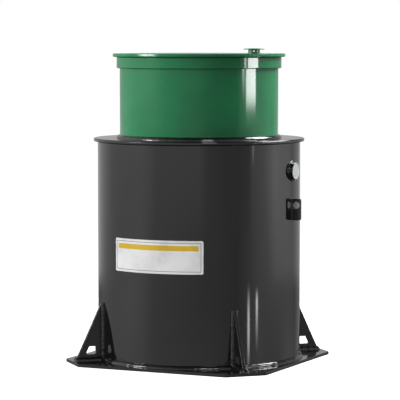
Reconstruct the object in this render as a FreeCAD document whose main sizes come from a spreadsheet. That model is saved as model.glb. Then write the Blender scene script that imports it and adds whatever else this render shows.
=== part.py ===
# Packaged sewage treatment plant, in millimetres.
#
# A black plastic tank stands on a square base plate and is stiffened by four gussets. A deck closes
# the tank, and a green neck on the deck carries a lid that lifts off. The origin is on the ground
# under the tank's axis, +Z is up, the front is -Y and the outlet leaves towards +X.
import FreeCAD
import Part
import Sketcher

import os

# Driving dimensions: the sheet's alias, its value in millimetres and what it measures.
DIMENSIONS = [
    ("tank_diameter", 1300, "outside of the tank wall"),
    ("tank_wall_thickness", 10, "sheet of the tank wall"),
    ("tank_wall_height", 1386, "from the base plate to the deck"),
    ("base_margin", 48, "base plate beyond the tank wall, on each side"),
    ("base_chamfer", 188, "leg of the cut corners of the base plate"),
    ("base_thickness", 20, "sheet of the base plate"),
    ("deck_overhang", 26, "deck beyond the tank wall"),
    ("deck_thickness", 20, "sheet of the deck"),
    ("neck_diameter", 1016, "outside of the neck"),
    ("neck_wall_thickness", 10, "sheet of the neck"),
    ("neck_height", 516, "from the deck to the rim under the lid"),
    ("skirt_clearance", 8, "between the neck and the lid's skirt"),
    ("skirt_thickness", 12, "sheet of the lid's skirt"),
    ("skirt_depth", 72, "how far the skirt reaches down over the neck"),
    ("lid_overhang", 25, "lid plate beyond its skirt"),
    ("lid_thickness", 22, "lid plate at its edge"),
    ("lid_crown", 4, "rise of the lid plate from its edge to its centre"),
    ("lid_seat_gap", 0.3, "between the neck's rim and the lid plate"),
    ("vent_inset", 123, "vent axis inside the neck's outside"),
    ("vent_seat_margin", 8, "seat on the lid plate beyond the vent collar"),
    ("vent_collar_diameter", 74, "outside of the vent collar"),
    ("vent_collar_wall", 6, "wall of the vent collar"),
    ("vent_collar_height", 21, "from the seat to the vent cap"),
    ("vent_window_width", 15, "air windows in the vent collar"),
    ("vent_window_sill", 7, "collar below the air windows"),
    ("vent_window_head", 6, "collar above the air windows"),
    ("vent_cap_overhang", 29, "vent cap beyond its collar"),
    ("vent_cap_thickness", 5, "vent cap at its edge"),
    ("vent_cap_crown", 4, "rise of the vent cap from its edge to its centre"),
    ("gusset_thickness", 20, "sheet of the gussets"),
    ("gusset_height", 366, "from the base plate to the gusset's top"),
    ("gusset_top_width", 11, "flat top of a gusset beside the wall"),
    ("gusset_toe_height", 10, "upright edge at a gusset's toe"),
    ("gusset_toe_margin", 28, "base plate beyond a gusset's toe"),
    ("window_wall_margin", 48, "gusset between the tank wall and its window"),
    ("window_slope_margin", 46, "gusset between its window and its sloping edge, measured level"),
    ("window_sill", 40, "gusset below its window"),
    ("window_height", 50, "height of a gusset's window"),
    ("window_corner", 8, "corner radius of a gusset's window"),
    ("foot_weld_leg", 22, "fillet weld between the tank wall and the base plate"),
    ("neck_weld_width", 22, "fillet weld at the neck's foot, along the deck"),
    ("neck_weld_height", 21, "fillet weld at the neck's foot, up the neck"),
    ("gusset_upright_weld_leg", 15, "fillet welds between the gussets and the tank wall"),
    ("gusset_level_weld_leg", 22, "fillet welds between the gussets and the base plate"),
    ("lug_weld_leg", 6, "fillet welds along the lifting lugs"),
    ("spigot_diameter", 110, "outside of the pipe spigots"),
    ("spigot_wall", 5, "wall of the pipe spigots"),
    ("spigot_reach", 23, "spigot's end beyond the tank wall"),
    ("spigot_tail", 30, "spigot's inner end inside the tank wall"),
    ("spigot_drop", 200, "spigot axis below the deck's top"),
    ("collar_margin", 8, "spigot collar beyond the spigot"),
    ("collar_reach", 8, "collar's face beyond the tank wall"),
    ("round_fit", 0.3, "play of a round piece in its hole"),
    ("plug_depth", 18, "plug inside its spigot"),
    ("plug_flange", 4, "thickness of the plug's flange"),
    ("plug_edge", 2, "spigot's rim left bare around the plug's flange"),
    ("lug_height", 136, "height of a lifting lug"),
    ("lug_reach", 60, "lug's outer edge beyond the tank wall"),
    ("lug_thickness", 18, "sheet of the lifting lugs"),
    ("lug_drop", 374, "lug's top below the deck's top"),
    ("lug_corner", 12, "radius of a lug's outer corners"),
    ("lug_hole_diameter", 46, "shackle hole"),
    ("lug_hole_inset", 30, "hole's axis beyond the tank wall"),
    ("lug_hole_drop", 41, "hole's axis below the lug's top"),
]

# Radii and heights that several pieces share, as expressions on the sheet.
TANK_RADIUS = "Dimensions.tank_diameter / 2"
BASE_HALF = f"({TANK_RADIUS} + Dimensions.base_margin)"
BASE_TOP = "Dimensions.base_thickness"
WALL_TOP = f"({BASE_TOP} + Dimensions.tank_wall_height)"
DECK_TOP = f"({WALL_TOP} + Dimensions.deck_thickness)"
NECK_RADIUS = "Dimensions.neck_diameter / 2"
NECK_BORE = f"({NECK_RADIUS} - Dimensions.neck_wall_thickness)"
LID_SEAT = f"({DECK_TOP} + Dimensions.neck_height + Dimensions.lid_seat_gap)"
SKIRT_BORE = f"({NECK_RADIUS} + Dimensions.skirt_clearance)"
SKIRT_RADIUS = f"({SKIRT_BORE} + Dimensions.skirt_thickness)"
LID_RADIUS = f"({SKIRT_RADIUS} + Dimensions.lid_overhang)"
LID_TOP = "(Dimensions.lid_thickness + Dimensions.lid_crown)"
VENT_OFFSET = f"({NECK_RADIUS} - Dimensions.vent_inset)"
VENT_RADIUS = "Dimensions.vent_collar_diameter / 2"
VENT_BORE = f"({VENT_RADIUS} - Dimensions.vent_collar_wall)"
SPIGOT_HEIGHT = f"({DECK_TOP} - Dimensions.spigot_drop)"
SPIGOT_RADIUS = "Dimensions.spigot_diameter / 2"
SPIGOT_BORE = f"({SPIGOT_RADIUS} - Dimensions.spigot_wall)"
SPIGOT_END = f"({TANK_RADIUS} + Dimensions.spigot_reach)"
COLLAR_RADIUS = f"({SPIGOT_RADIUS} + Dimensions.collar_margin)"
LUG_TOP = f"({DECK_TOP} - Dimensions.lug_drop)"
LUG_BOTTOM = f"({LUG_TOP} - Dimensions.lug_height)"
LUG_END = f"({TANK_RADIUS} + Dimensions.lug_reach)"

# A gusset runs along a diagonal of the base plate, from the tank wall towards the cut corner.
CORNER_REACH = f"(sqrt(2) * {BASE_HALF} - Dimensions.base_chamfer / sqrt(2))"
GUSSET_TOE = f"({CORNER_REACH} - Dimensions.gusset_toe_margin)"
GUSSET_CREST = f"({TANK_RADIUS} + Dimensions.gusset_top_width)"
GUSSET_TOP = f"({BASE_TOP} + Dimensions.gusset_height)"
GUSSET_SLOPE = (f"(({GUSSET_TOE} - {GUSSET_CREST})"
                " / (Dimensions.gusset_height - Dimensions.gusset_toe_height))")
WINDOW_SILL = f"({BASE_TOP} + Dimensions.window_sill)"
WINDOW_HEAD = f"({WINDOW_SILL} + Dimensions.window_height)"
WINDOW_WALL_SIDE = f"({TANK_RADIUS} + Dimensions.window_wall_margin)"

# Angles about the tank's axis, in degrees from +X towards +Y.
QUARTER_DEG = 90
GUSSET_CORNERS = ["front_right", "back_right", "back_left", "front_left"]
GUSSET_ANGLES = {corner: QUARTER_DEG * (index - 0.5) for index, corner in enumerate(GUSSET_CORNERS)}
SIDE_ANGLES = {"right": 0, "left": 2 * QUARTER_DEG}
SPIGOT_ANGLES = {"outlet": 0, "inlet": 2 * QUARTER_DEG}

# Three pairs of opposite windows at even steps about the vent's axis.
VENT_WINDOW_PAIRS = 3
VENT_WINDOW_SPAN_DEG = 120

EDGE_TOLERANCE = 0.01

AXIS_X = FreeCAD.Vector(1, 0, 0)
AXIS_Y = FreeCAD.Vector(0, 1, 0)
AXIS_Z = FreeCAD.Vector(0, 0, 1)

doc = FreeCAD.newDocument("sewage_plant")
sheet = doc.addObject("Spreadsheet::Sheet", "Dimensions")
for row, (alias, value, meaning) in enumerate(DIMENSIONS, start=1):
    sheet.set(f"A{row}", meaning)
    sheet.set(f"B{row}", str(value))
    sheet.setAlias(f"B{row}", alias)
doc.recompute()


def size(expression):
    """The present value of an expression on the sheet."""
    return float(sheet.evalExpression(expression))


def new_body(label, angle=0, place=("0", "0", "0")):
    """An empty body, turned about Z and then moved to a place given by expressions."""
    body = doc.addObject("PartDesign::Body", label)
    body.Label = label
    set_placement(body, FreeCAD.Rotation(AXIS_Z, angle), place)
    return body


def set_placement(piece, rotation, place):
    """Turn a piece and bind its place to the sheet."""
    piece.Placement = FreeCAD.Placement(FreeCAD.Vector(), rotation)
    for axis, expression in zip("xyz", place):
        piece.setExpression(f"Placement.Base.{axis}", expression)


def new_sketch(body, role):
    """An empty sketch on one of the body's own origin planes."""
    sketch = body.newObject("Sketcher::SketchObject", "Sketch")
    plane = next(feature for feature in body.Origin.OriginFeatures if feature.Role == role)
    sketch.AttachmentSupport = [(plane, "")]
    sketch.MapMode = "FlatFace"
    return sketch


def pin_point(sketch, edge, point, across, up):
    """Bind a point of a sketch to its distances from the origin, or to the axis itself at 0."""
    for kind, axis, expression in (("DistanceX", -2, across), ("DistanceY", -1, up)):
        if expression == "0":
            sketch.addConstraint(Sketcher.Constraint("PointOnObject", edge, point, axis))
        else:
            datum = Sketcher.Constraint(kind, -1, 1, edge, point, size(expression))
            index = sketch.addConstraint(datum)
            sketch.setExpression(f"Constraints[{index}]", expression)


def arc_between(start, end, radius):
    """The short arc that turns anticlockwise from start to end."""
    chord = end - start
    rise = (radius ** 2 - (chord.Length / 2) ** 2) ** 0.5
    left = FreeCAD.Vector(-chord.y, chord.x, 0).normalize()
    centre = (start + end) / 2 + left * rise
    middle = centre - left * radius
    return Part.Arc(start, middle, end)


def outline(body, role, corners):
    """A closed sketch through corners (across, up). A corner with a third value starts an arc of
    that radius, which turns anticlockwise to the next corner."""
    sketch = new_sketch(body, role)
    points = [FreeCAD.Vector(size(corner[0]), size(corner[1]), 0) for corner in corners]
    for index, corner in enumerate(corners):
        start = points[index]
        end = points[(index + 1) % len(points)]
        if len(corner) == 3:
            sketch.addGeometry(arc_between(start, end, size(corner[2])))
        else:
            sketch.addGeometry(Part.LineSegment(start, end))
    for index in range(len(corners)):
        following = (index + 1) % len(corners)
        sketch.addConstraint(Sketcher.Constraint("Coincident", index, 2, following, 1))
    for index, corner in enumerate(corners):
        pin_point(sketch, index, 1, corner[0], corner[1])
        if len(corner) == 3:
            radius = Sketcher.Constraint("Radius", index, size(corner[2]))
            sketch.setExpression(f"Constraints[{sketch.addConstraint(radius)}]", corner[2])
    return sketch


def circle(body, role, across, up, radius):
    """A sketch of one circle."""
    sketch = new_sketch(body, role)
    centre = FreeCAD.Vector(size(across), size(up), 0)
    sketch.addGeometry(Part.Circle(centre, FreeCAD.Vector(0, 0, 1), size(radius)))
    pin_point(sketch, 0, 3, across, up)
    index = sketch.addConstraint(Sketcher.Constraint("Radius", 0, size(radius)))
    sketch.setExpression(f"Constraints[{index}]", radius)
    return sketch


def revolve(body, sketch, axis):
    """Turn a sketch once round its own H_Axis or V_Axis."""
    feature = body.newObject("PartDesign::Revolution", "Revolution")
    feature.Profile = sketch
    feature.ReferenceAxis = (sketch, [axis])
    feature.Angle = 360
    doc.recompute()
    return feature


def pad(body, sketch, length, side="One side"):
    """Thicken a sketch along its normal."""
    feature = body.newObject("PartDesign::Pad", "Pad")
    feature.Profile = sketch
    feature.SideType = side
    feature.setExpression("Length", length)
    doc.recompute()
    return feature


def cut_through(body, sketch):
    """Cut a sketch through the whole body, to both sides of its plane."""
    before = body.Shape.Volume
    feature = body.newObject("PartDesign::Pocket", "Pocket")
    feature.Profile = sketch
    feature.Type = "ThroughAll"
    feature.SideType = "Symmetric"
    doc.recompute()
    if feature.Shape.Volume >= before:
        raise RuntimeError(f"the cut in {body.Label} removes nothing")
    return feature


def round_edges(body, base, radius, inside):
    """Round the edges along Y whose middle (x, z) the test accepts."""
    names = []
    for index, edge in enumerate(base.Shape.Edges, start=1):
        middle = edge.CenterOfMass
        spread = edge.BoundBox
        along_y = spread.XLength < EDGE_TOLERANCE and spread.ZLength < EDGE_TOLERANCE
        if along_y and inside(middle.x, middle.z):
            names.append(f"Edge{index}")
    feature = body.newObject("PartDesign::Fillet", "Fillet")
    feature.Base = (base, names)
    feature.setExpression("Radius", radius)
    doc.recompute()
    return feature


def ring(label, inner, outer, bottom, top, place=("0", "0", "0")):
    """A band about Z between two radii and two heights."""
    body = new_body(label, place=place)
    corners = [(inner, bottom), (outer, bottom), (outer, top), (inner, top)]
    revolve(body, outline(body, "XZ_Plane", corners), "V_Axis")
    return body


def ring_weld(label, radius, bottom, width, height):
    """A fillet weld round a wall, on the plate under it."""
    body = new_body(label)
    corners = [
        (radius, bottom),
        (f"{radius} + {width}", bottom),
        (radius, f"{bottom} + {height}"),
    ]
    revolve(body, outline(body, "XZ_Plane", corners), "V_Axis")
    return body


def crowned_disc(label, radius, thickness, crown, place):
    """A round plate with a flat underside and a slightly domed top."""
    body = new_body(label, place=place)
    dome_radius = f"(({radius})^2 + {crown}^2) / (2 * {crown})"
    corners = [
        ("0", "0"),
        (radius, "0"),
        (radius, thickness, dome_radius),
        ("0", f"{thickness} + {crown}"),
    ]
    revolve(body, outline(body, "XZ_Plane", corners), "V_Axis")
    return body


def weld_run(name, leg, length, place, across, up):
    """A straight fillet weld with equal legs along two directions at right angles."""
    run = doc.addObject("Part::Wedge", name)
    for zero in ("Xmin", "Ymin", "Zmin", "X2min", "Z2min", "X2max"):
        run.setExpression(zero, "0")
    for along_leg in ("Xmax", "Ymax"):
        run.setExpression(along_leg, leg)
    for along_run in ("Zmax", "Z2max"):
        run.setExpression(along_run, length)
    set_placement(run, FreeCAD.Rotation(across, up, across.cross(up), "XYZ"), place)
    return run


def upright_welds(name, leg, length, half_thickness, bottom):
    """The two welds beside a plate that stands out from the tank wall towards +X."""
    return [
        weld_run(f"{name}_a", leg, length, (TANK_RADIUS, half_thickness, bottom), AXIS_X, AXIS_Y),
        weld_run(f"{name}_b", leg, length, (TANK_RADIUS, f"-{half_thickness}", bottom), -AXIS_Y, AXIS_X),
    ]


def weld_group(label, runs, angle):
    """The welds of one plate as one piece, turned about the tank's axis."""
    group = doc.addObject("Part::Compound", label)
    group.Label = label
    group.Links = runs
    group.Placement = FreeCAD.Placement(FreeCAD.Vector(), FreeCAD.Rotation(AXIS_Z, angle))
    return group


def base_plate():
    """The square plate on the ground, with its corners cut off."""
    body = new_body("base_plate")
    cut = f"({BASE_HALF} - Dimensions.base_chamfer)"
    corners = [
        (cut, f"-{BASE_HALF}"),
        (BASE_HALF, f"-{cut}"),
        (BASE_HALF, cut),
        (cut, BASE_HALF),
        (f"-{cut}", BASE_HALF),
        (f"-{BASE_HALF}", cut),
        (f"-{BASE_HALF}", f"-{cut}"),
        (f"-{cut}", f"-{BASE_HALF}"),
    ]
    pad(body, outline(body, "XY_Plane", corners), BASE_TOP)
    return body


def tank_wall():
    """The tank's shell, with the holes for the two spigots."""
    inner = f"({TANK_RADIUS} - Dimensions.tank_wall_thickness)"
    body = ring("tank_wall", inner, TANK_RADIUS, BASE_TOP, WALL_TOP)
    hole_radius = f"{COLLAR_RADIUS} + Dimensions.round_fit"
    cut_through(body, circle(body, "YZ_Plane", "0", SPIGOT_HEIGHT, hole_radius))
    return body


def tank_deck():
    """The round plate that closes the tank around the neck."""
    return ring("tank_deck", NECK_BORE, f"({TANK_RADIUS} + Dimensions.deck_overhang)", WALL_TOP, DECK_TOP)


def neck_wall():
    """The neck's shell, standing on the deck."""
    return ring("neck_wall", NECK_BORE, NECK_RADIUS, DECK_TOP, f"({DECK_TOP} + Dimensions.neck_height)")


def lid_plate():
    """The lid's plate, with a flat seat and an air hole for the vent."""
    body = crowned_disc("lid_plate", LID_RADIUS, "Dimensions.lid_thickness", "Dimensions.lid_crown",
                        ("0", "0", LID_SEAT))
    seat_radius = f"{VENT_RADIUS} + Dimensions.vent_seat_margin"
    pad(body, circle(body, "XY_Plane", VENT_OFFSET, "0", seat_radius), LID_TOP)
    cut_through(body, circle(body, "XY_Plane", VENT_OFFSET, "0", VENT_BORE))
    return body


def lid_skirt():
    """The band under the lid's plate that fits over the neck."""
    return ring("lid_skirt", SKIRT_BORE, SKIRT_RADIUS, "-Dimensions.skirt_depth", "0", ("0", "0", LID_SEAT))


def vent_collar():
    """The vent's round collar, with air windows all round."""
    place = (VENT_OFFSET, "0", f"{LID_SEAT} + {LID_TOP}")
    body = ring("vent_collar", VENT_BORE, VENT_RADIUS, "0", "Dimensions.vent_collar_height", place)
    half_width = "Dimensions.vent_window_width / 2"
    sill = "Dimensions.vent_window_sill"
    head = "(Dimensions.vent_collar_height - Dimensions.vent_window_head)"
    corners = [(f"-{half_width}", sill), (half_width, sill), (half_width, head), (f"-{half_width}", head)]
    window = cut_through(body, outline(body, "YZ_Plane", corners))
    pattern = body.newObject("PartDesign::PolarPattern", "PolarPattern")
    pattern.Originals = [window]
    pattern.Axis = (window.Profile[0], ["V_Axis"])
    pattern.Angle = VENT_WINDOW_SPAN_DEG
    pattern.Occurrences = VENT_WINDOW_PAIRS
    body.Tip = pattern
    doc.recompute()
    return body


def vent_cap():
    """The vent's flat cap."""
    place = (VENT_OFFSET, "0", f"{LID_SEAT} + {LID_TOP} + Dimensions.vent_collar_height")
    return crowned_disc("vent_cap", f"({VENT_RADIUS} + Dimensions.vent_cap_overhang)",
                        "Dimensions.vent_cap_thickness", "Dimensions.vent_cap_crown", place)


def window_edge(height):
    """How far out a gusset's window reaches at a height, parallel to the sloping edge."""
    climb = f"({height} - {BASE_TOP} - Dimensions.gusset_toe_height)"
    return f"({GUSSET_TOE} - Dimensions.window_slope_margin - {GUSSET_SLOPE} * {climb})"


def gusset(corner, angle):
    """A triangular stiffener with a rounded window, clipped at its corner to pass the foot weld."""
    body = new_body(f"gusset_{corner}", angle)
    corners = [
        (f"{TANK_RADIUS} + Dimensions.foot_weld_leg", BASE_TOP),
        (GUSSET_TOE, BASE_TOP),
        (GUSSET_TOE, f"{BASE_TOP} + Dimensions.gusset_toe_height"),
        (GUSSET_CREST, GUSSET_TOP),
        (TANK_RADIUS, GUSSET_TOP),
        (TANK_RADIUS, f"{BASE_TOP} + Dimensions.foot_weld_leg"),
    ]
    pad(body, outline(body, "XZ_Plane", corners), "Dimensions.gusset_thickness", "Symmetric")
    window = [
        (WINDOW_WALL_SIDE, WINDOW_SILL),
        (window_edge(WINDOW_SILL), WINDOW_SILL),
        (window_edge(WINDOW_HEAD), WINDOW_HEAD),
        (WINDOW_WALL_SIDE, WINDOW_HEAD),
    ]
    pocket = cut_through(body, outline(body, "XZ_Plane", window))
    left = size(WINDOW_WALL_SIDE) - EDGE_TOLERANCE
    right = size(window_edge(WINDOW_SILL)) + EDGE_TOLERANCE
    bottom = size(WINDOW_SILL) - EDGE_TOLERANCE
    top = size(WINDOW_HEAD) + EDGE_TOLERANCE
    round_edges(body, pocket, "Dimensions.window_corner",
                lambda x, z: left < x < right and bottom < z < top)
    return body


def gusset_welds():
    """The welds of each gusset: two up the tank wall and two along the base plate."""
    upright = "Dimensions.gusset_upright_weld_leg"
    level = "Dimensions.gusset_level_weld_leg"
    half = "Dimensions.gusset_thickness / 2"
    bottom = f"({BASE_TOP} + Dimensions.foot_weld_leg)"
    start = f"({TANK_RADIUS} + Dimensions.foot_weld_leg)"
    length = f"({GUSSET_TOE} - {start})"
    runs = upright_welds("gusset_upright_weld", upright, f"{GUSSET_TOP} - {bottom}", half, bottom)
    left_start = (start, half, BASE_TOP)
    right_start = (start, f"-{half}", BASE_TOP)
    runs.append(weld_run("gusset_level_weld_a", level, length, left_start, AXIS_Y, AXIS_Z))
    runs.append(weld_run("gusset_level_weld_b", level, length, right_start, AXIS_Z, -AXIS_Y))
    return [weld_group(f"gusset_weld_{corner}", runs, angle) for corner, angle in GUSSET_ANGLES.items()]


def spigot(side, angle):
    """A pipe stub through the tank wall, with the collar that seals its hole."""
    body = new_body(f"{side}_spigot", angle, ("0", "0", SPIGOT_HEIGHT))
    wall_inside = f"({TANK_RADIUS} - Dimensions.tank_wall_thickness)"
    tail = f"({wall_inside} - Dimensions.spigot_tail)"
    collar_face = f"({TANK_RADIUS} + Dimensions.collar_reach)"
    corners = [
        (tail, SPIGOT_BORE),
        (SPIGOT_END, SPIGOT_BORE),
        (SPIGOT_END, SPIGOT_RADIUS),
        (collar_face, SPIGOT_RADIUS),
        (collar_face, COLLAR_RADIUS),
        (wall_inside, COLLAR_RADIUS),
        (wall_inside, SPIGOT_RADIUS),
        (tail, SPIGOT_RADIUS),
    ]
    revolve(body, outline(body, "XZ_Plane", corners), "H_Axis")
    return body


def plug(side, angle):
    """The pale plug that closes a spigot."""
    body = new_body(f"{side}_plug", angle, ("0", "0", SPIGOT_HEIGHT))
    inner = f"({SPIGOT_END} - Dimensions.plug_depth)"
    face = f"({SPIGOT_END} + Dimensions.plug_flange)"
    body_radius = f"({SPIGOT_BORE} - Dimensions.round_fit)"
    flange_radius = f"({SPIGOT_RADIUS} - Dimensions.plug_edge)"
    corners = [
        (inner, "0"),
        (face, "0"),
        (face, flange_radius),
        (SPIGOT_END, flange_radius),
        (SPIGOT_END, body_radius),
        (inner, body_radius),
    ]
    revolve(body, outline(body, "XZ_Plane", corners), "H_Axis")
    return body


def lifting_lug(side, angle):
    """A plate on the tank wall with a shackle hole and rounded outer corners."""
    body = new_body(f"lifting_lug_{side}", angle)
    corners = [(TANK_RADIUS, LUG_BOTTOM), (LUG_END, LUG_BOTTOM), (LUG_END, LUG_TOP), (TANK_RADIUS, LUG_TOP)]
    pad(body, outline(body, "XZ_Plane", corners), "Dimensions.lug_thickness", "Symmetric")
    hole_place = (f"{TANK_RADIUS} + Dimensions.lug_hole_inset", f"{LUG_TOP} - Dimensions.lug_hole_drop")
    pocket = cut_through(body, circle(body, "XZ_Plane", *hole_place, "Dimensions.lug_hole_diameter / 2"))
    outer = size(LUG_END) - EDGE_TOLERANCE
    round_edges(body, pocket, "Dimensions.lug_corner", lambda x, z: x > outer)
    return body


def lug_welds():
    """The two upright welds of each lifting lug."""
    runs = upright_welds("lug_upright_weld", "Dimensions.lug_weld_leg", "Dimensions.lug_height",
                         "Dimensions.lug_thickness / 2", LUG_BOTTOM)
    return [weld_group(f"lug_weld_{side}", runs, angle) for side, angle in SIDE_ANGLES.items()]


pieces = [
    base_plate(),
    tank_wall(),
    tank_deck(),
    ring_weld("tank_foot_weld", TANK_RADIUS, BASE_TOP, "Dimensions.foot_weld_leg",
              "Dimensions.foot_weld_leg"),
    neck_wall(),
    ring_weld("neck_foot_weld", NECK_RADIUS, DECK_TOP, "Dimensions.neck_weld_width",
              "Dimensions.neck_weld_height"),
    lid_plate(),
    lid_skirt(),
    vent_collar(),
    vent_cap(),
]
pieces += [gusset(corner, angle) for corner, angle in GUSSET_ANGLES.items()]
pieces += gusset_welds()
pieces += [spigot(side, angle) for side, angle in SPIGOT_ANGLES.items()]
pieces += [plug(side, angle) for side, angle in SPIGOT_ANGLES.items()]
pieces += [lifting_lug(side, angle) for side, angle in SIDE_ANGLES.items()]
pieces += lug_welds()

doc.recompute()
for item in doc.Objects:
    if "Invalid" in item.State or "Error" in item.State:
        raise RuntimeError(f"{item.Label} failed: {item.State}")
for piece in pieces:
    if piece.Shape.isNull() or not piece.Shape.isValid():
        raise RuntimeError(f"{piece.Label} has no valid shape")

os.makedirs("parts", exist_ok=True)
for piece in pieces:
    piece.Shape.exportStep(f"parts/{piece.Label}.step")
    print(f"{piece.Label}: {len(piece.Shape.Solids)} solids, {piece.Shape.Volume / 1e6:.3f} litres")
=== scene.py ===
"""Looks of a packaged sewage treatment plant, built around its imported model.

Every piece is in metres in the model's own frame: the ground is z = 0, the tank's axis is the z axis,
the front is -Y and the outlet leaves towards +X.
"""

import math
from collections import namedtuple

import bmesh
import bpy
from mathutils import Matrix, Vector, geometry, noise


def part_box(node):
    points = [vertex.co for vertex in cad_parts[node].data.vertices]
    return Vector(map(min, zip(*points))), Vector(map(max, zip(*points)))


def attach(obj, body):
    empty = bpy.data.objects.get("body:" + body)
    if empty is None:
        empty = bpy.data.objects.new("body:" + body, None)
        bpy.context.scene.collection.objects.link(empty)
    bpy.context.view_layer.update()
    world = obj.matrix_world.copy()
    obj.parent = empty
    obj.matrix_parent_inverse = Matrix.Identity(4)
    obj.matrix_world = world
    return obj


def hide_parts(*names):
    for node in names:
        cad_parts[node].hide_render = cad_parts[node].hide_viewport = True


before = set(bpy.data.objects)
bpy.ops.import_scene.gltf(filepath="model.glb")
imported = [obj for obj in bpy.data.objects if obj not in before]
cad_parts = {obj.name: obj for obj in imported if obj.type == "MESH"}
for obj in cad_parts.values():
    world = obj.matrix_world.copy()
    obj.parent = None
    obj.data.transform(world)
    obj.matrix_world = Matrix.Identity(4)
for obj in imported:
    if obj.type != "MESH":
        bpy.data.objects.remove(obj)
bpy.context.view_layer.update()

MICROMETRE_PLACES = 6


def box_corners(node):
    """A node's lowest and highest corner in metres, to the micrometre."""
    return [[round(value, MICROMETRE_PLACES) for value in corner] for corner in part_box(node)]


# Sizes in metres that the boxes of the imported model's nodes give
_, (BASE_HALF, _, BASE_TOP) = box_corners("base_plate")
_, (TANK_RADIUS, _, WALL_TOP) = box_corners("tank_wall")
_, (_, _, FOOT_WELD_TOP) = box_corners("tank_foot_weld")
_, (DECK_RADIUS, _, DECK_TOP) = box_corners("tank_deck")
_, (NECK_RADIUS, _, NECK_TOP) = box_corners("neck_wall")
_, (NECK_WELD_END, _, NECK_WELD_TOP) = box_corners("neck_foot_weld")
(_, _, SKIRT_LOW), (SKIRT_RADIUS, _, LID_SEAT) = box_corners("lid_skirt")
_, (LID_RADIUS, _, VENT_SEAT) = box_corners("lid_plate")
_, (VENT_COLLAR_END, _, VENT_COLLAR_TOP) = box_corners("vent_collar")
_, (VENT_CAP_END, _, VENT_CAP_TOP) = box_corners("vent_cap")
_, (_, _, GUSSET_TOP) = box_corners("gusset_front_right")
(SPIGOT_TAIL, _, _), (SPIGOT_END, _, COLLAR_TOP) = box_corners("outlet_spigot")
(PLUG_BACK, _, _), (PLUG_FACE, _, PLUG_TOP) = box_corners("outlet_plug")
(_, _, LUG_LOW), (LUG_END, LUG_HALF_THICKNESS, LUG_TOP) = box_corners("lifting_lug_right")

# Other sizes in metres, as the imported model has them
WALL_SHEET = 0.010
BASE_CUT = 0.188
LID_PLAY = 0.008
LID_CROWN = 0.004
VENT_X = 0.385
VENT_SEAT_RADIUS = 0.045
VENT_BORE = 0.031
VENT_WINDOW_SILL = 0.007
VENT_WINDOW_HEAD = 0.006
VENT_WINDOW_WIDTH = 0.015
VENT_WINDOWS = 6
VENT_CAP_CROWN = 0.004
GUSSET_THICKNESS = 0.020
GUSSET_TOE = 0.8262
GUSSET_TOE_HEIGHT = 0.010
GUSSET_CREST_WIDTH = 0.011
WINDOW_WALL_MARGIN = 0.048
WINDOW_SLOPE_MARGIN = 0.046
WINDOW_BASE_MARGIN = 0.040
WINDOW_HEIGHT = 0.050
WINDOW_CORNER = 0.008
UPRIGHT_WELD_LEG = 0.015
LEVEL_WELD_LEG = 0.022
SPIGOT_DROP = 0.200
SPIGOT_RADIUS = 0.055
SPIGOT_SHEET = 0.005
COLLAR_REACH = 0.008
PLUG_PLAY = 0.0003
LUG_CORNER = 0.012
LUG_HOLE_RADIUS = 0.023
LUG_HOLE_REACH = 0.030
LUG_HOLE_DROP = 0.041
LUG_WELD_LEG = 0.006

# Sizes that are worked out from these
FOOT_WELD_LEG = FOOT_WELD_TOP - BASE_TOP
NECK_BORE = NECK_RADIUS - WALL_SHEET
NECK_WELD_WIDTH = NECK_WELD_END - NECK_RADIUS
NECK_WELD_HEIGHT = NECK_WELD_TOP - DECK_TOP
SKIRT_BORE = NECK_RADIUS + LID_PLAY
LID_EDGE_TOP = VENT_SEAT - LID_CROWN
VENT_RADIUS = VENT_COLLAR_END - VENT_X
VENT_CAP_RADIUS = VENT_CAP_END - VENT_X
VENT_CAP_EDGE_TOP = VENT_CAP_TOP - VENT_CAP_CROWN
GUSSET_TOE_TOP = BASE_TOP + GUSSET_TOE_HEIGHT
GUSSET_CREST = TANK_RADIUS + GUSSET_CREST_WIDTH
WINDOW_WALL_SIDE = TANK_RADIUS + WINDOW_WALL_MARGIN
WINDOW_SILL = BASE_TOP + WINDOW_BASE_MARGIN
WINDOW_HEAD = WINDOW_SILL + WINDOW_HEIGHT
SPIGOT_HEIGHT = DECK_TOP - SPIGOT_DROP
SPIGOT_BORE = SPIGOT_RADIUS - SPIGOT_SHEET
COLLAR_RADIUS = COLLAR_TOP - SPIGOT_HEIGHT
COLLAR_BACK = TANK_RADIUS - WALL_SHEET
COLLAR_FACE = TANK_RADIUS + COLLAR_REACH
PLUG_RADIUS = SPIGOT_BORE - PLUG_PLAY
PLUG_FLANGE_RADIUS = PLUG_TOP - SPIGOT_HEIGHT
LUG_HOLE_PLACE = (TANK_RADIUS + LUG_HOLE_REACH, LUG_TOP - LUG_HOLE_DROP)

# Angles about the tank's axis, in degrees from +X towards +Y
GUSSET_ANGLES = {"front_right": -45, "back_right": 45, "back_left": 135, "front_left": 225}
SIDE_ANGLES = {"right": 0, "left": 180}
SPIGOT_ANGLES = {"outlet": 0, "inlet": 180}
FRONT_ANGLE = -90

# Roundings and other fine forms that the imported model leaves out, outer edges as lower and upper
SHEET_EDGE = 0.002
BASE_CORNER = 0.006
DECK_OUTER_EDGES = (0.003, 0.0078)
SKIRT_EDGE = 0.003
SKIRT_OUTER_EDGES = (0.0055, 0.004)
LID_UPPER_EDGE = 0.0025
LID_LOWER_EDGE = 0.007
LID_EDGE_LEAN = 0.0012
VENT_EDGE = 0.0008
VENT_CAP_EDGE = 0.0018
SPIGOT_EDGE = 0.0012
PLUG_EDGE = 0.0016
PLUG_DISH_RADIUS = 0.046
PLUG_DISH_DEPTH = 0.0008
PLATE_CORNER = 0.003
TOE_WELD_SHARE = 0.55
DECK_SEAM_LEG = 0.006
COLLAR_WELD_LEG = 0.0035

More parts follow.
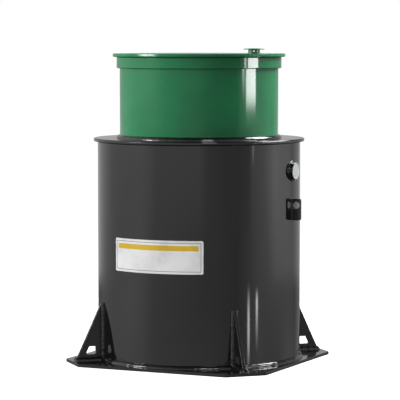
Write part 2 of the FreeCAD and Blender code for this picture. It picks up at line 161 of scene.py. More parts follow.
# The bare sticker on the front: its height, its half width about the tank, its sheet and its print
STICKER_LOW = 0.609
STICKER_TOP = 0.816
STICKER_HALF_DEG = 27.75
STICKER_HALF_WIDTH = math.radians(STICKER_HALF_DEG) * TANK_RADIUS
STICKER_SHEET = 0.0006
STICKER_CORNER = 0.010
PRINT_SHEET = 0.0002
PRINT_INSET = 0.014
PRINT_LINE = 0.003
BAND_LOW = 0.753
BAND_TOP = 0.785
BAND_INSET = 0.030

# The photograph's viewing angle
VIEW_AZIMUTH_DEG = 25.34
CAMERA_DISTANCE = 14.134
CAMERA_HEIGHT = 2.0365
CAMERA_AIM_HEIGHT = 1.0232
CAMERA_AIM_RIGHT = 0.0062
CAMERA_LENS_MM = 198.2

# Fineness of the meshes, and the margins that they are made with
LARGE_TURN = 256
SMALL_TURN = 96
CORNER_STEPS = 5
DOME_RINGS = 9
DOME_RING_STEP = 8
HOLE_MARGIN = 1.3
MERGE_DISTANCE = 1e-7
WELD_STEP = 0.0022
COLLAR_WELD_STEP = 0.0012
WELD_PROFILE_STEPS = 8
TOE_FAN_STEPS = 8
STICKER_COLUMNS = 64
STICKER_ROWS = 6
CORNER_COLUMNS = 6
PATCH_EDGE_REACH = 1.5

QUARTER = math.pi / 2
FULL_TURN_DEG = 360
UP = Vector((0, 0, 1))


def rounded_path(corners, closed=True, steps=CORNER_STEPS):
    """An outline with rounded corners from (x, y, radius): points, and normals to the right of its run.

    An anticlockwise outline has its normals outside; a clockwise one is a hole with normals into it.
    """
    points, normals = [], []
    last = len(corners) - 1
    for index, (x, y, radius) in enumerate(corners):
        here = Vector((x, y))
        before = Vector(corners[index - 1][:2])
        after = Vector(corners[(index + 1) % len(corners)][:2])
        leaving = (after - here).normalized()
        arriving = (here - before).normalized()
        if not closed and index == 0:
            arriving = leaving
        if not closed and index == last:
            leaving = arriving
        turn = math.atan2(arriving.x * leaving.y - arriving.y * leaving.x, arriving.dot(leaving))
        normal = Vector((arriving.y, -arriving.x))
        bend = math.copysign(radius, turn)
        centre = here - arriving * (radius * math.tan(abs(turn) / 2)) - normal * bend
        shares = [step / steps for step in range(steps + 1)] if radius else [0.5]
        for share in shares:
            angle = turn * share
            facing = Vector((normal.x * math.cos(angle) - normal.y * math.sin(angle),
                             normal.x * math.sin(angle) + normal.y * math.cos(angle)))
            points.append(centre + facing * bend)
            normals.append(facing)
    return points, normals


def circle_path(centre, radius, count, hole=False):
    """A round outline as points and normals; a hole runs clockwise with its normals into it."""
    points, normals = [], []
    for index in range(count):
        angle = 2 * math.pi * index / count * (-1 if hole else 1)
        spoke = Vector((math.cos(angle), math.sin(angle)))
        points.append(Vector(centre) + spoke * radius)
        normals.append(-spoke if hole else spoke)
    return points, normals


def dome(radius, rise, edge_height):
    """The height and upward normal of a crowned surface over (x, y), for its radius and rise."""
    ball = (radius ** 2 + rise ** 2) / (2 * rise)

    def at(x, y):
        drop = math.sqrt(ball ** 2 - x * x - y * y)
        return edge_height + rise - ball + drop, Vector((x, y, drop)) / ball

    return at


class Shape:
    """Points, their normals and the faces of a mesh that is being put together."""

    def __init__(self):
        self.points = []
        self.normals = []
        self.faces = []

    def add(self, point, normal):
        self.points.append(Vector(point))
        self.normals.append(Vector(normal).normalized())
        return len(self.points) - 1

    def join_rows(self, row, other, closed):
        """Faces between two rows of points."""
        count = len(row)
        for index in range(count if closed else count - 1):
            following = (index + 1) % count
            self.faces.append([row[index], row[following], other[following], other[index]])

    def join_all(self, rows, closed, ring=False):
        """Faces from each row to the next, and in a ring from the last one to the first."""
        others = rows[1:] + rows[:1] if ring else rows[1:]
        for row, other in zip(rows, others):
            self.join_rows(row, other, closed)

    def turned_rows(self, points, normals, turn):
        """Adds an outline of (radius, height) at even angles about the z axis, as one row at each."""
        rows = []
        for index in range(turn):
            angle = 2 * math.pi * index / turn
            cos, sin = math.cos(angle), math.sin(angle)
            rows.append([self.add((p.x * cos, p.x * sin, p.y), (n.x * cos, n.x * sin, n.y))
                         for p, n in zip(points, normals)])
        return rows

    def placed(self, matrix):
        """A copy that is moved and turned."""
        turn = matrix.to_3x3()
        copy = Shape()
        copy.points = [matrix @ point for point in self.points]
        copy.normals = [turn @ normal for normal in self.normals]
        copy.faces = [list(face) for face in self.faces]
        return copy

    def merge(self, other):
        start = len(self.points)
        self.points += other.points
        self.normals += other.normals
        self.faces += [[index + start for index in face] for face in other.faces]
        return self


def lathe(path, turn):
    """A closed outline of (radius, height) turned about the z axis."""
    shape = Shape()
    shape.join_all(shape.turned_rows(*path, turn), closed=True, ring=True)
    return shape


def lathe_solid(path, turn):
    """An open outline of (radius, height) from axis to axis, turned about the z axis."""
    points, normals = path
    shape = Shape()
    first = shape.add((0, 0, points[0].y), (0, 0, normals[0].y))
    last = shape.add((0, 0, points[-1].y), (0, 0, normals[-1].y))
    rows = shape.turned_rows(points[1:-1], normals[1:-1], turn)
    shape.join_all(rows, closed=False, ring=True)
    for row, following in zip(rows, rows[1:] + rows[:1]):
        shape.faces.append([first, row[0], following[0]])
        shape.faces.append([last, row[-1], following[-1]])
    return shape


def ring_section(inner, outer, low, high, edge, outer_edges=None):
    """The section of a ring, as an outline of (radius, height) with rounded corners.

    All its edges are rounded alike, unless its lower and its upper outer edge have roundings of their own.
    """
    lower_edge, upper_edge = outer_edges or (edge, edge)
    return rounded_path([
        (inner, low, edge),
        (outer, low, lower_edge),
        (outer, high, upper_edge),
        (inner, high, edge),
    ])


def sheet(paths, thickness, edge):
    """A flat sheet in the xy plane, centred on it, with rounded edges along its outline and its holes."""
    shape = Shape()
    half = thickness / 2
    angles = [QUARTER * (1 - step / CORNER_STEPS) for step in range(CORNER_STEPS + 1)]
    levels = [(angle, 1) for angle in angles] + [(-angle, -1) for angle in reversed(angles)]
    top, bottom, flat = [], [], []
    for points, normals in paths:
        rows = []
        for angle, side in levels:
            inset = edge * (1 - math.cos(angle))
            height = side * (half - edge * (1 - abs(math.sin(angle))))
            rows.append([
                shape.add((p.x - n.x * inset, p.y - n.y * inset, height),
                          (n.x * math.cos(angle), n.y * math.cos(angle), math.sin(angle)))
                for p, n in zip(points, normals)
            ])
        shape.join_all(rows, closed=True)
        top += rows[0]
        bottom += rows[-1]
        flat.append([shape.points[index] for index in rows[0]])
    for triangle in geometry.tessellate_polygon(flat):
        shape.faces.append([top[index] for index in triangle])
        shape.faces.append([bottom[index] for index in triangle])
    return shape


def about_z(angle_deg):
    return Matrix.Rotation(math.radians(angle_deg), 4, "Z")


def radial_plane(angle_deg):
    """Takes a sheet from the xy plane to an upright plane through the tank's axis."""
    return about_z(angle_deg) @ Matrix.Rotation(QUARTER, 4, "X")


def side_axis(angle_deg, height):
    """Takes a turned shape from the z axis to a level axis out of the tank's side."""
    return about_z(angle_deg) @ Matrix.Translation((0, 0, height)) @ Matrix.Rotation(QUARTER, 4, "Y")


# How uneven weld beads are: the bulge of the face, shares of the leg, and their spans in metres
WeldStyle = namedtuple("WeldStyle", "bulge swell lumps ripple lump_span ripple_span")
FOOT_STYLE = WeldStyle(1.05, 0.08, 0.05, 0.004, 0.034, 0.0085)
NECK_STYLE = WeldStyle(1.05, 0.03, 0.03, 0.002, 0.040, 0.0090)
UPRIGHT_STYLE = WeldStyle(1.20, 0.10, 0.14, 0.030, 0.020, 0.0075)
LEVEL_STYLE = WeldStyle(1.05, 0.08, 0.05, 0.006, 0.030, 0.0085)
FINE_STYLE = WeldStyle(1.15, 0.05, 0.08, 0.150, 0.011, 0.0130)
SWELL_SPAN = 0.09
LEAN_SPAN = SWELL_SPAN / 2
WAVER_SPAN = 0.03
WAVER_ANGLE = 2
WELD_SINK = 0.0008
WELD_END = 0.010
WELD_END_SHARE = 0.03

# Seeds of the beads, and what is added to them for each kind of unevenness
FOOT_SEED = 3
NECK_SEED = 9
SEAM_SEED = 15
GUSSET_SEED_STEP = 20
LEVEL_SEED = 5
COLLAR_SEED = 131
LUG_SEED = 151
LUG_SEED_STEP = 10
LUMP_SEED = 7
WAVER_SEED = 3
LEAN_SEED = 13
SEED_SPREAD = (1.0, 2.3, 4.1)


def uneven(place, seed, span):
    """A smooth random number from -1 to 1 that changes over a span of metres."""
    return noise.noise(place / span + Vector([spread * seed for spread in SEED_SPREAD]))


def bead_face(station, size, lean, bulge):
    """The points of a bead's face at one station, from the toe of one leg to that of the other."""
    corner, side, up, leg_side, leg_up = station
    face = []
    for step in range(WELD_PROFILE_STEPS + 1):
        angle = QUARTER * step / WELD_PROFILE_STEPS
        out = max(0.0, math.cos(angle)) ** bulge * leg_side * size * (1 + lean)
        rise = max(0.0, math.sin(angle)) ** bulge * leg_up * size * (1 - lean)
        if step == 0:
            rise = -WELD_SINK
        if step == WELD_PROFILE_STEPS:
            out = -WELD_SINK
        face.append(corner + side * out + up * rise)
    return face


def bead_faces(stations, style, seed, closed, blunt):
    """The faces of a bead at all its stations, as uneven as its style says."""
    travelled = [0.0]
    for before, after in zip(stations, stations[1:]):
        travelled.append(travelled[-1] + (after[0] - before[0]).length)
    total = travelled[-1] + ((stations[0][0] - stations[-1][0]).length if closed else 0)
    waves = 2 * math.pi * max(1, round(total / style.ripple_span)) / total
    faces = []
    for station, way in zip(stations, travelled):
        corner = station[0]
        lump = style.lumps * uneven(corner, seed + LUMP_SEED, style.lump_span)
        waver = WAVER_ANGLE * uneven(corner, seed + WAVER_SEED, WAVER_SPAN)
        ripple = style.ripple * math.cos(waves * way + waver)
        lean = style.swell * uneven(corner, seed + LEAN_SEED, LEAN_SPAN)
        size = 1 + style.swell * uneven(corner, seed, SWELL_SPAN) + lump + ripple
        if not (closed or blunt):
            to_end = min(1.0, min(way, total - way) / WELD_END)
            size *= max(WELD_END_SHARE, math.sqrt(1 - (1 - to_end) ** 2))
        faces.append(bead_face(station, size, lean, style.bulge))
    return faces


def bead(stations, style, seed, closed=False, blunt=False):
    """A weld bead along stations of (corner, first side, second side, first leg, second leg).

    Its ends run out to nothing unless it is blunt.
    """
    faces = bead_faces(stations, style, seed, closed, blunt)
    shape = Shape()
    rows = []
    last = len(stations) - 1
    for index, ((corner, side, up, *_), face) in enumerate(zip(stations, faces)):
        before = faces[index - 1] if closed or index > 0 else face
        after = faces[(index + 1) % len(faces)] if closed or index < last else face
        row = [shape.add(corner - (side + up) * WELD_SINK, -side - up)]
        for step, point in enumerate(face):
            across = face[min(step + 1, WELD_PROFILE_STEPS)] - face[max(step - 1, 0)]
            normal = (after[step] - before[step]).cross(across)
            row.append(shape.add(point, normal if normal.dot(side + up) > 0 else -normal))
        rows.append(row)
    shape.join_all(rows, closed=True, ring=closed)
    if not closed:
        for end, inner in ((rows[0], rows[1]), (rows[-1], rows[-2])):
            outward = shape.points[end[0]] - shape.points[inner[0]]
            shape.faces.append([shape.add(shape.points[index], outward) for index in end])
    return shape


def spaced(start, end):
    """Even steps of about one weld step from start to end, both included."""
    count = max(2, round((end - start).length / WELD_STEP))
    return [start.lerp(end, index / count) for index in range(count + 1)]


def ring_bead(radius, height, width, rise, style, seed, up=UP):
    """A weld bead round an upright cylinder, where it meets a flat sheet."""
    count = round(2 * math.pi * radius / WELD_STEP)
    stations = []
    for index in range(count):
        spoke = about_z(FULL_TURN_DEG * index / count) @ Vector((1, 0, 0))
        stations.append((spoke * radius + UP * height, spoke, up, width, rise))
    return bead(stations, style, seed, closed=True)


def add_object(name, data):
    """A new object in the scene."""
    added = bpy.data.objects.new(name, data)
    bpy.context.scene.collection.objects.link(added)
    return added


def make_piece(name, shape, material, replaces=(), body="plant"):
    """Turns a shape into an object that rides on a body and stands for the CAD nodes named."""
    mesh = bpy.data.meshes.new(name)
    mesh.from_pydata(shape.points, [], shape.faces)
    work = bmesh.new()
    work.from_mesh(mesh)
    against = []
    for face in work.faces:
        face.normal_update()
        wanted = sum((shape.normals[vertex.index] for vertex in face.verts), Vector((0, 0, 0)))
        if face.normal.dot(wanted) < 0:
            against.append(face)
    bmesh.ops.reverse_faces(work, faces=against)
    work.to_mesh(mesh)
    work.free()
    mesh.shade_smooth()
    mesh.normals_split_custom_set_from_vertices(shape.normals)
    mesh.materials.append(material)
    piece = add_object(name, mesh)
    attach(piece, body)
    if replaces:
        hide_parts(*replaces)


class Nodes:
    """Short calls for putting nodes together.

    A Mix node has like-named sockets for each kind of data, so those for colours go by number.
    """

    COLOUR_INPUTS = (6, 7)
    COLOUR_OUTPUT = 2

    def __init__(self, tree):
        self.tree = tree

    def new(self, kind, **settings):
        node = self.tree.nodes.new(kind)
        for name, value in settings.items():
            setattr(node, name, value)
        return node

    def link(self, source, target):
        self.tree.links.new(source, target)

    def fill(self, socket, value):
        """Links a node's output to a socket, or sets a plain number or colour on it."""
        if isinstance(value, bpy.types.NodeSocket):
            self.link(value, socket)
        elif isinstance(value, tuple):
            socket.default_value = (*value, 1)
        else:
            socket.default_value = value

    def set_inputs(self, node, settings):
        for name, value in settings.items():
            self.fill(node.inputs[name], value)

    def noise(self, vector, scale, detail=3.0, roughness=0.5):
        node = self.new("ShaderNodeTexNoise")
        self.set_inputs(node, {"Vector": vector, "Scale": scale, "Detail": detail, "Roughness": roughness})
        return node.outputs["Fac"]

    def remap(self, value, span, target):
        """A number taken smoothly from one span to another."""
        node = self.new("ShaderNodeMapRange", interpolation_type="SMOOTHSTEP")
        names = ("Value", "From Min", "From Max", "To Min", "To Max")
        self.set_inputs(node, dict(zip(names, (value, *span, *target))))
        return node.outputs["Result"]

    def math(self, operation, *values):
        node = self.new("ShaderNodeMath", operation=operation)
        for socket, value in zip(node.inputs, values):
            self.fill(socket, value)
        return node.outputs[0]

    def mix(self, share, first, second):
        node = self.new("ShaderNodeMix", data_type="RGBA")
        self.fill(node.inputs["Factor"], share)
        for number, colour in zip(self.COLOUR_INPUTS, (first, second)):
            self.fill(node.inputs[number], colour)
        return node.outputs[self.COLOUR_OUTPUT]


# Plastic surfaces: scales of noise, the spans of it over which a change comes, and how large the change is
CLOUD_SCALE = 5.0
CLOUD_ROUGHNESS = 0.55
SPECK_SCALE = 160.0
SPECK_ROUGHNESS = 0.6
MOTTLE_SPAN = (0.35, 0.65)
MOTTLE = 0.08
DUST_HEIGHTS = (0.0, 0.35)
DUST_ABOVE = 0.15
SPECK_SPAN = (0.56, 0.72)
SPECK_SHARE = 0.30
DUST_PATCH_SPAN = (0.4, 0.7)
DUST_PATCH_LEAST = 0.3
GLOSS_SPAN = (0.3, 0.7)
GLOSS_CHANGE = (0.85, 1.2)
DUST_DULLING = 0.35
PLASTIC_IOR = 1.5
SKIN_DEPTH = 0.0004
WHOLE = (0.0, 1.0)


def plastic(name, colour, dust, gloss, specular, grain, grain_scale):
    """Sheet or moulded plastic: slight mottling, cloudy gloss, a fine skin and a little dust low down."""
    material = bpy.data.materials.new(name)
    material.use_nodes = True
    nodes = Nodes(material.node_tree)
    shader = material.node_tree.nodes["Principled BSDF"]
    place = nodes.new("ShaderNodeTexCoord").outputs["Object"]
    cloud = nodes.noise(place, CLOUD_SCALE, detail=4.0, roughness=CLOUD_ROUGHNESS)
    fine = nodes.noise(place, SPECK_SCALE, detail=3.0, roughness=SPECK_ROUGHNESS)
    darker = tuple(part * (1 - MOTTLE) for part in colour)
    lighter = tuple(part * (1 + MOTTLE) for part in colour)
    mottled = nodes.mix(nodes.remap(cloud, MOTTLE_SPAN, WHOLE), darker, lighter)
    split = nodes.new("ShaderNodeSeparateXYZ")
    nodes.link(place, split.inputs["Vector"])
    low_down = nodes.remap(split.outputs["Z"], DUST_HEIGHTS, (1.0, DUST_ABOVE))
    specks = nodes.remap(fine, SPECK_SPAN, (0.0, SPECK_SHARE))
    patches = nodes.remap(cloud, DUST_PATCH_SPAN, (DUST_PATCH_LEAST, 1.0))
    dusty = nodes.math("MULTIPLY", nodes.math("MULTIPLY", low_down, specks), patches)
    shine = nodes.remap(cloud, GLOSS_SPAN, [gloss * change for change in GLOSS_CHANGE])
    dulled = nodes.math("ADD", shine, nodes.math("MULTIPLY", dusty, DUST_DULLING))
    skin = nodes.new("ShaderNodeBump")
    height = nodes.noise(place, grain_scale, detail=2.0)
    nodes.set_inputs(skin, {"Strength": grain, "Distance": SKIN_DEPTH, "Height": height})
    nodes.set_inputs(shader, {
        "Base Color": nodes.mix(dusty, mottled, dust),
        "Roughness": dulled,
        "IOR": PLASTIC_IOR,
        "Specular IOR Level": specular,
        "Normal": skin.outputs["Normal"],
    })
    return material


BLACK_DUST = (0.045, 0.043, 0.040)
GREEN_DUST = (0.09, 0.20, 0.12)
PALE_DUST = (0.42, 0.41, 0.38)

# Each plastic's colour, dust, roughness, specular level, and the strength and scale of its skin
tank_black = plastic("tank_black", (0.0040, 0.0040, 0.0042), BLACK_DUST, 0.07, 1.0, 0.02, 220.0)
base_black = plastic("base_black", (0.0042, 0.0042, 0.0044), BLACK_DUST, 0.07, 1.0, 0.03, 320.0)
sheet_black = plastic("sheet_black", (0.0042, 0.0042, 0.0044), BLACK_DUST, 0.12, 1.0, 0.05, 320.0)
weld_black = plastic("weld_black", (0.0045, 0.0045, 0.0047), BLACK_DUST, 0.09, 1.0, 0.08, 520.0)
neck_green = plastic("neck_green", (0.0086, 0.215, 0.076), GREEN_DUST, 0.08, 0.5, 0.02, 240.0)
lid_green = plastic("lid_green", (0.0086, 0.215, 0.076), GREEN_DUST, 0.14, 0.5, 0.03, 240.0)
plug_grey = plastic("plug_grey", (0.60, 0.635, 0.622), PALE_DUST, 0.28, 0.5, 0.08, 700.0)
sticker_white = plastic("sticker_white", (0.88, 0.88, 0.885), PALE_DUST, 0.30, 0.5, 0.03, 900.0)
print_grey = plastic("print_grey", (0.16, 0.165, 0.17), PALE_DUST, 0.34, 0.5, 0.03, 900.0)
print_amber = plastic("print_amber", (0.78, 0.50, 0.02), PALE_DUST, 0.34, 0.5, 0.03, 900.0)


def base_sheet():
    """The square plate on the ground with its corners cut off."""
    near, far = BASE_HALF - BASE_CUT, BASE_HALF
    right_half = [(near, -far), (far, -near), (far, near), (near, far)]
    left_half = [(-x, -y) for x, y in right_half]
    corners = [(x, y, BASE_CORNER) for x, y in right_half + left_half]
    shape = sheet([rounded_path(corners)], BASE_TOP, SHEET_EDGE)
    return shape.placed(Matrix.Translation((0, 0, BASE_TOP / 2)))


def gusset_sheet():
    """A gusset in the plane of (distance from the axis, height), with its rounded window."""
    slope = (GUSSET_TOE - GUSSET_CREST) / (GUSSET_TOP - GUSSET_TOE_TOP)

    def window_edge(height):
        return GUSSET_TOE - WINDOW_SLOPE_MARGIN - slope * (height - GUSSET_TOE_TOP)

    outline = rounded_path([
        (TANK_RADIUS + FOOT_WELD_LEG, BASE_TOP, PLATE_CORNER),
        (GUSSET_TOE, BASE_TOP, PLATE_CORNER),
        (GUSSET_TOE, GUSSET_TOE_TOP, PLATE_CORNER),
        (GUSSET_CREST, GUSSET_TOP, PLATE_CORNER),
        (TANK_RADIUS, GUSSET_TOP, PLATE_CORNER),
        (TANK_RADIUS, BASE_TOP + FOOT_WELD_LEG, PLATE_CORNER),
    ])
    window = rounded_path([
        (WINDOW_WALL_SIDE, WINDOW_SILL, WINDOW_CORNER),
        (WINDOW_WALL_SIDE, WINDOW_HEAD, WINDOW_CORNER),
        (window_edge(WINDOW_HEAD), WINDOW_HEAD, WINDOW_CORNER),
        (window_edge(WINDOW_SILL), WINDOW_SILL, WINDOW_CORNER),
    ])
    return sheet([outline, window], GUSSET_THICKNESS, SHEET_EDGE)


def directions(angle_deg):
    """The level direction out from the tank's axis at an angle, and the one across it."""
    turn = about_z(angle_deg)
    return turn @ Vector((1, 0, 0)), turn @ Vector((0, 1, 0))


def side_beads(angle_deg, half, heights, leg, style, seed, blunt=False):
    """The beads up both sides of an upright sheet on the tank wall, from its half thickness."""
    out, across = directions(angle_deg)
    low, high = heights
    shape = Shape()
    for side in (-1, 1):
        foot = out * TANK_RADIUS + across * side * half
        run = spaced(foot + UP * low, foot + UP * high)
        stations = [(corner, across * side, out, leg, leg) for corner in run]
        shape.merge(bead(stations, style, seed + side, blunt=blunt))
    return shape


def gusset_beads(angle_deg, seed):
    """The beads up both sides of a gusset, and the one along the base plate that runs round its toe."""
    out, across = directions(angle_deg)
    half = GUSSET_THICKNESS / 2
    heights = (BASE_TOP + FOOT_WELD_LEG / 2, GUSSET_TOP)
    shape = side_beads(angle_deg, half, heights, UPRIGHT_WELD_LEG, UPRIGHT_STYLE, seed, blunt=True)
    start = TANK_RADIUS + FOOT_WELD_LEG / 2
    floor = UP * BASE_TOP
    near_side = [out * start - across * half + floor, out * GUSSET_TOE - across * half + floor]
    far_side = [out * GUSSET_TOE + across * half + floor, out * start + across * half + floor]
    toe_leg = LEVEL_WELD_LEG * TOE_WELD_SHARE
    stations = [(p, -across, UP, LEVEL_WELD_LEG, LEVEL_WELD_LEG) for p in spaced(*near_side)]
    fans = [(near_side[1], -across, out), (far_side[0], out, across)]
    for index, (corner, first, second) in enumerate(fans):
        for step in range(1, TOE_FAN_STEPS):
            share = step / TOE_FAN_STEPS
            side = (first * math.cos(QUARTER * share) + second * math.sin(QUARTER * share)).normalized()
            ease = share if index == 0 else 1 - share
            leg = LEVEL_WELD_LEG + (toe_leg - LEVEL_WELD_LEG) * ease
            stations.append((corner, side, UP, leg, leg))
        if index == 0:
            stations += [(p, out, UP, toe_leg, toe_leg) for p in spaced(near_side[1], far_side[0])]
    stations += [(p, across, UP, LEVEL_WELD_LEG, LEVEL_WELD_LEG) for p in spaced(*far_side)]
    return shape.merge(bead(stations, LEVEL_STYLE, seed + LEVEL_SEED))


def spigot_section():
    """A pipe stub with its collar, as an outline of (radius, distance from the tank's axis)."""
    return rounded_path([
        (SPIGOT_BORE, SPIGOT_TAIL, SPIGOT_EDGE),
        (SPIGOT_RADIUS, SPIGOT_TAIL, SPIGOT_EDGE),
        (SPIGOT_RADIUS, COLLAR_BACK, SPIGOT_EDGE),
        (COLLAR_RADIUS, COLLAR_BACK, SPIGOT_EDGE),
        (COLLAR_RADIUS, COLLAR_FACE, 2 * SPIGOT_EDGE),
        (SPIGOT_RADIUS, COLLAR_FACE, SPIGOT_EDGE),
        (SPIGOT_RADIUS, SPIGOT_END, SPIGOT_EDGE),
        (SPIGOT_BORE, SPIGOT_END, SPIGOT_EDGE),
    ])


def plug_section():
    """The plug in a spigot's end, with a rounded flange and a shallow dish."""
    dish = PLUG_FACE - PLUG_DISH_DEPTH
    return rounded_path([
        (0, PLUG_BACK, 0),
        (PLUG_RADIUS, PLUG_BACK, PLUG_EDGE),
        (PLUG_RADIUS, SPIGOT_END, PLUG_EDGE / 4),
        (PLUG_FLANGE_RADIUS, SPIGOT_END, PLUG_EDGE / 4),
        (PLUG_FLANGE_RADIUS, PLUG_FACE, PLUG_EDGE),
        (PLUG_DISH_RADIUS, PLUG_FACE, PLUG_EDGE),
        (PLUG_DISH_RADIUS - 2 * PLUG_DISH_DEPTH, dish, PLUG_EDGE),
        (0, dish, 0),
    ], closed=False)


def collar_bead(angle_deg, seed):
    """The bead that seals a spigot's collar to the round tank wall."""
    count = round(2 * math.pi * COLLAR_RADIUS / COLLAR_WELD_STEP)
    place = about_z(angle_deg)
    out = place @ Vector((1, 0, 0))
    stations = []
    for index in range(count):
        angle = 2 * math.pi * index / count
        y, z = COLLAR_RADIUS * math.cos(angle), COLLAR_RADIUS * math.sin(angle)
        corner = Vector((math.sqrt(TANK_RADIUS ** 2 - y ** 2), y, SPIGOT_HEIGHT + z))
        wall = Vector((corner.x, corner.y, 0)).normalized()
        spoke = Vector((0, math.cos(angle), math.sin(angle)))
        along_wall = (spoke - wall * spoke.dot(wall)).normalized()
        stations.append((place @ corner, place @ along_wall, out, COLLAR_WELD_LEG, COLLAR_WELD_LEG))
    return bead(stations, FINE_STYLE, seed, closed=True)


def lug_sheet():
    """A lifting lug in the plane of (distance from the axis, height), with its shackle hole."""
    outline = rounded_path([
        (TANK_RADIUS, LUG_LOW, PLATE_CORNER),
        (LUG_END, LUG_LOW, LUG_CORNER),
        (LUG_END, LUG_TOP, LUG_CORNER),
        (TANK_RADIUS, LUG_TOP, PLATE_CORNER),
    ])
    hole = circle_path(LUG_HOLE_PLACE, LUG_HOLE_RADIUS, SMALL_TURN, hole=True)
    return sheet([outline, hole], 2 * LUG_HALF_THICKNESS, SHEET_EDGE)


def holed_disc(surface, radius, shape, down):
    """Adds a round surface with the vent's air hole to a shape; returns its rim and hole as rows."""
    vent = Vector((VENT_X, 0))
    places = circle_path((0, 0), radius, LARGE_TURN)[0] + circle_path(vent, VENT_BORE, SMALL_TURN)[0]
    for ring in range(DOME_RINGS):
        count = DOME_RING_STEP * ring + 1
        spokes = circle_path((0, 0), radius * ring / DOME_RINGS, count)[0]
        places += [p for p in spokes if (p - vent).length > VENT_BORE * HOLE_MARGIN]
    edges = [(index, (index + 1) % LARGE_TURN) for index in range(LARGE_TURN)]
    edges += [(LARGE_TURN + index, LARGE_TURN + (index + 1) % SMALL_TURN) for index in range(SMALL_TURN)]
    found, _, triangles, *_ = geometry.delaunay_2d_cdt(places, edges, [], 0, MERGE_DISTANCE)
    indices = []
    for p in found:
        height, normal = surface(p.x, p.y)
        indices.append(shape.add((p.x, p.y, height), -normal if down else normal))
    for triangle in triangles:
        middle = sum((found[index] for index in triangle), Vector((0, 0))) / 3
        if (middle - vent).length > VENT_BORE:
            shape.faces.append([indices[index] for index in triangle])
    return indices[:LARGE_TURN], indices[LARGE_TURN:LARGE_TURN + SMALL_TURN]


def lid_sheet():
    """The lid's crowned plate with a rounded rim, and the vent's seat with the air hole."""
    shape = Shape()
    points, normals = rounded_path([
        (0, LID_SEAT, 0),
        (LID_RADIUS, LID_SEAT, LID_LOWER_EDGE),
        (LID_RADIUS - LID_EDGE_LEAN, LID_EDGE_TOP, LID_UPPER_EDGE),
        (0, LID_EDGE_TOP, 0),
    ], closed=False)
    low_radius, top_radius = points[1].x, points[-2].x
    crown = dome(top_radius, LID_CROWN, LID_EDGE_TOP)
    top_rim, top_hole = holed_disc(crown, top_radius, shape, down=False)
    low_rim, low_hole = holed_disc(lambda x, y: (LID_SEAT, UP), low_radius, shape, down=True)
    rim = shape.turned_rows(points[2:-2], normals[2:-2], LARGE_TURN)
    rows = [[low, *row, top] for low, row, top in zip(low_rim, rim, top_rim)]
    shape.join_all(rows, closed=False, ring=True)
    vent = Vector((VENT_X, 0, 0))
    walls = []
    for hole in (low_hole, top_hole):
        wall = []
        for index in hole:
            point = shape.points[index]
            wall.append(shape.add(point, (vent.x - point.x, vent.y - point.y, 0)))
        walls.append(wall)
    shape.join_rows(*walls, closed=True)
    seat_low = crown(VENT_X + VENT_SEAT_RADIUS, 0)[0] - SHEET_EDGE
    seat = ring_section(VENT_BORE, VENT_SEAT_RADIUS, seat_low, VENT_SEAT, VENT_EDGE)
    return shape.merge(lathe(seat, SMALL_TURN).placed(Matrix.Translation(vent)))


def vent_collar():
    """The vent's collar: a ring below, a ring above and posts between its air windows."""
    shape = Shape()
    window_low, window_high = VENT_SEAT + VENT_WINDOW_SILL, VENT_COLLAR_TOP - VENT_WINDOW_HEAD
    for low, high in ((VENT_SEAT, window_low), (window_high, VENT_COLLAR_TOP)):
        shape.merge(lathe(ring_section(VENT_BORE, VENT_RADIUS, low, high, VENT_EDGE), SMALL_TURN))
    pitch = 2 * math.pi / VENT_WINDOWS
    half = pitch / 2 - math.asin(VENT_WINDOW_WIDTH / (VENT_BORE + VENT_RADIUS))
    bows = (-1, -0.5, 0, 0.5, 1)
    outer = [(VENT_RADIUS, half * bow) for bow in bows]
    inner = [(VENT_BORE, -half * bow) for bow in bows]
    corners = []
    for radius, angle in outer + inner:
        edge = VENT_EDGE if abs(angle) == half else 0
        corners.append((radius * math.cos(angle), radius * math.sin(angle), edge))
    height = window_high - window_low + 2 * VENT_EDGE
    post = sheet([rounded_path(corners)], height, VENT_EDGE / 2)
    post = post.placed(Matrix.Translation((0, 0, (window_low + window_high) / 2)))
    for index in range(VENT_WINDOWS):
        shape.merge(post.placed(about_z(math.degrees(pitch) * (index + 0.5))))
    return shape.placed(Matrix.Translation((VENT_X, 0, 0)))


def vent_cap():
    """The vent's crowned cap."""
    points, normals = rounded_path([
        (0, VENT_COLLAR_TOP, 0),
        (VENT_CAP_RADIUS, VENT_COLLAR_TOP, VENT_CAP_EDGE),
        (VENT_CAP_RADIUS, VENT_CAP_EDGE_TOP, VENT_CAP_EDGE),
        (0, VENT_CAP_EDGE_TOP, 0),
    ], closed=False)
    top_radius = VENT_CAP_RADIUS - VENT_CAP_EDGE
    crown = dome(top_radius, VENT_CAP_CROWN, VENT_CAP_EDGE_TOP)
    del points[-2:], normals[-2:]
    for ring in range(DOME_RINGS, -1, -1):
        radius = top_radius * ring / DOME_RINGS
        height, normal = crown(radius, 0)
        points.append(Vector((radius, height)))
        normals.append(Vector((normal.x, normal.z)))
    return lathe_solid((points, normals), SMALL_TURN).placed(Matrix.Translation((VENT_X, 0, 0)))


def patch_places(half_width, corner):
    """Where a patch has its columns along the wall, closer together at its rounded corners."""
    straight = half_width - corner
    middle = [straight * (2 * step / STICKER_COLUMNS - 1) for step in range(1, STICKER_COLUMNS)]
    if not corner:
        return [-half_width, *middle, half_width]
    steps = [corner * math.sin(QUARTER * step / CORNER_COLUMNS) for step in range(CORNER_COLUMNS + 1)]
    return [-straight - step for step in reversed(steps)] + middle + [straight + step for step in steps]


def patch_edge(shape, rim, across, rise, thickness):
    """Adds a patch's edge, from its rim into the wall, that faces so far across the wall and so far up."""
    pairs = []
    for index in rim:
        point, spoke = shape.points[index], shape.normals[index]
        normal = UP.cross(spoke) * across + UP * rise
        foot = point - spoke * thickness * PATCH_EDGE_REACH
        pairs.append([shape.add(point, normal), shape.add(foot, normal)])
    shape.join_all(pairs, closed=False)


